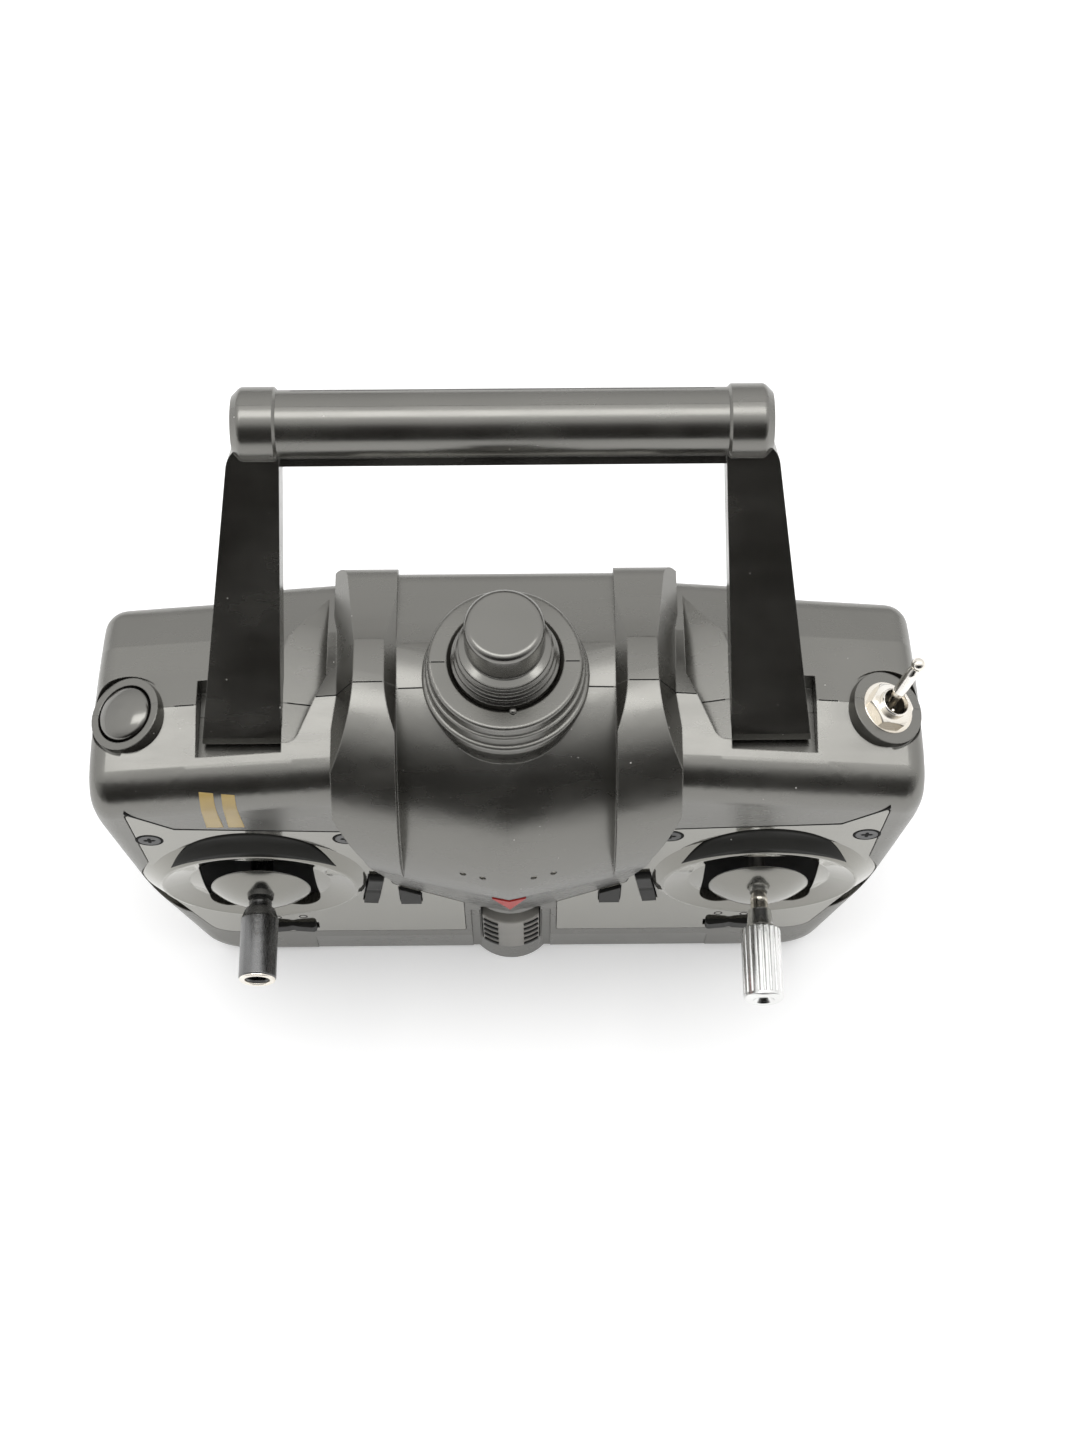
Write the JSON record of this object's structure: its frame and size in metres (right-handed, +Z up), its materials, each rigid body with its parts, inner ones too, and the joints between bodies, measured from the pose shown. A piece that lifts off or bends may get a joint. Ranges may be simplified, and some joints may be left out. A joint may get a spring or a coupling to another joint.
{
  "type": "radio transmitter controller",
  "caption": "Hand-held radio transmitter with two gimbal sticks, carry handle, aerial stub, toggle switch, shoulder button, power slider, trim rockers and battery bay.",
  "frame": {"origin": "middle of the flat underside, in the plane where the front and back shells meet", "axes": "+X to the holder's right, +Y to the back, away from the holder, +Z up towards the handle"},
  "size_m": [0.1882, 0.1001, 0.1676],
  "materials": {
    "case_black": "fine satin moulding",
    "plate_black": "semi-gloss",
    "handle_black": "fine satin moulding",
    "stub_black": "satin",
    "switch_black": "satin",
    "button_black": "gloss",
    "trim_black": "satin",
    "key_black": "satin",
    "dome_black": "satin",
    "moulding_grey": "plain moulding",
    "slider_grey": "satin",
    "screw_steel": "blackened",
    "bright_metal": "plated",
    "shaft_dark": "satin",
    "grip_dark": "anodised dark grey",
    "grip_silver": "fluted, bright",
    "red_lens": "clear red plastic",
    "lamp_clear": "clear plastic",
    "circuit_green": "solder resist",
    "tin_can": "tinned",
    "pot_blue": "moulded",
    "cell_jacket": "printed sleeve, plain here",
    "contact_steel": "nickel-plated"
  },
  "bodies": {
    "case": {"front_shell": "case_black", "back_shell": "case_black", "face_plate_left": "plate_black", "face_plate_right": "plate_black", "front_screws": "screw_steel", "rear_screws": "screw_steel", "handle_front": "handle_black", "handle_rear": "handle_black", "antenna_stub": "stub_black", "push_switch_body": "switch_black", "toggle_body": "switch_black", "toggle_bushing": "bright_metal", "toggle_nut": "bright_metal", "power_lens": "red_lens", "status_leds": "lamp_clear", "indicator_board": "circuit_green", "power_switch_body": "switch_black", "main_board": "circuit_green", "radio_module": "tin_can", "battery_cells": "cell_jacket", "battery_contacts": "contact_steel", "gimbal_housing_left": "moulding_grey", "gimbal_housing_right": "moulding_grey", "stick_pot_left": "pot_blue", "stick_pot_right": "pot_blue", "trim_boards": "circuit_green"},
    "yoke_left": {"yoke_left": "moulding_grey"},
    "yoke_right": {"yoke_right": "moulding_grey"},
    "stick_left": {"stick_shaft_left": "shaft_dark", "dome_left": "dome_black", "stick_grip_left": "grip_dark"},
    "stick_right": {"stick_shaft_right": "bright_metal", "dome_right": "dome_black", "stick_grip_right": "grip_silver"},
    "trim_side_left": {"trim_side_left": "trim_black"},
    "trim_side_right": {"trim_side_right": "trim_black"},
    "trim_lower_left": {"trim_lower_left": "trim_black"},
    "trim_lower_right": {"trim_lower_right": "trim_black"},
    "key_left": {"key_left": "key_black"},
    "key_right": {"key_right": "key_black"},
    "shoulder_button": {"shoulder_button": "button_black"},
    "toggle_lever": {"toggle_lever": "bright_metal"},
    "power_slider": {"power_slider": "slider_grey"},
    "battery_door": {"battery_door": "case_black"}
  },
  "joints": [
    {"name": "stick_left_up_down", "type": "hinge", "parent": "case", "child": "yoke_left", "pos_m": [-0.06, -0.0065, 0.05], "axis": [1, 0, 0], "range_deg": [-17, 17], "stiffness_Nm_per_rad": 0.05},
    {"name": "stick_left_across", "type": "hinge", "parent": "yoke_left", "child": "stick_left", "pos_m": [-0.06, -0.0065, 0.05], "axis": [0, 0, 1], "range_deg": [-17, 17], "stiffness_Nm_per_rad": 0.05},
    {"name": "trim_side_left_rock", "type": "hinge", "parent": "case", "child": "trim_side_left", "pos_m": [-0.033, -0.0179, 0.0473], "axis": [-0.9903, 0, 0.1392], "range_deg": [-6, 6], "stiffness_Nm_per_rad": 0.01},
    {"name": "trim_lower_left_rock", "type": "hinge", "parent": "case", "child": "trim_lower_left", "pos_m": [-0.055, -0.0179, 0.0208], "axis": [0, 0, 1], "range_deg": [-6, 6], "stiffness_Nm_per_rad": 0.01},
    {"name": "key_left_press", "type": "slide", "parent": "case", "child": "key_left", "axis": [0, 1, 0], "range_m": [0, 0.0008], "stiffness_N_per_m": 400},
    {"name": "stick_right_up_down", "type": "hinge", "parent": "case", "child": "yoke_right", "pos_m": [0.06, -0.0065, 0.05], "axis": [1, 0, 0], "range_deg": [-17, 17], "stiffness_Nm_per_rad": 0.05},
    {"name": "stick_right_across", "type": "hinge", "parent": "yoke_right", "child": "stick_right", "pos_m": [0.06, -0.0065, 0.05], "axis": [0, 0, 1], "range_deg": [-17, 17], "stiffness_Nm_per_rad": 0.05},
    {"name": "trim_side_right_rock", "type": "hinge", "parent": "case", "child": "trim_side_right", "pos_m": [0.033, -0.0179, 0.0473], "axis": [-0.9903, 0, -0.1392], "range_deg": [-6, 6], "stiffness_Nm_per_rad": 0.01},
    {"name": "trim_lower_right_rock", "type": "hinge", "parent": "case", "child": "trim_lower_right", "pos_m": [0.055, -0.0179, 0.0208], "axis": [0, 0, 1], "range_deg": [-6, 6], "stiffness_Nm_per_rad": 0.01},
    {"name": "key_right_press", "type": "slide", "parent": "case", "child": "key_right", "axis": [0, 1, 0], "range_m": [0, 0.0008], "stiffness_N_per_m": 400},
    {"name": "shoulder_button_press", "type": "slide", "parent": "case", "child": "shoulder_button", "axis": [0.4067, 0, -0.9135], "range_m": [0, 0.0015], "stiffness_N_per_m": 500},
    {"name": "toggle_throw", "type": "hinge", "parent": "case", "child": "toggle_lever", "pos_m": [0.0853, -0.001, 0.1046], "axis": [0.9135, 0, -0.4067], "range_deg": [0, 36]},
    {"name": "power_slide", "type": "slide", "parent": "case", "child": "power_slider", "axis": [0, 0, 1], "range_m": [0, 0.005]},
    {"name": "battery_door_slide", "type": "slide", "parent": "case", "child": "battery_door", "axis": [0, 0, -1], "range_m": [0, 0.008]}
  ]
}
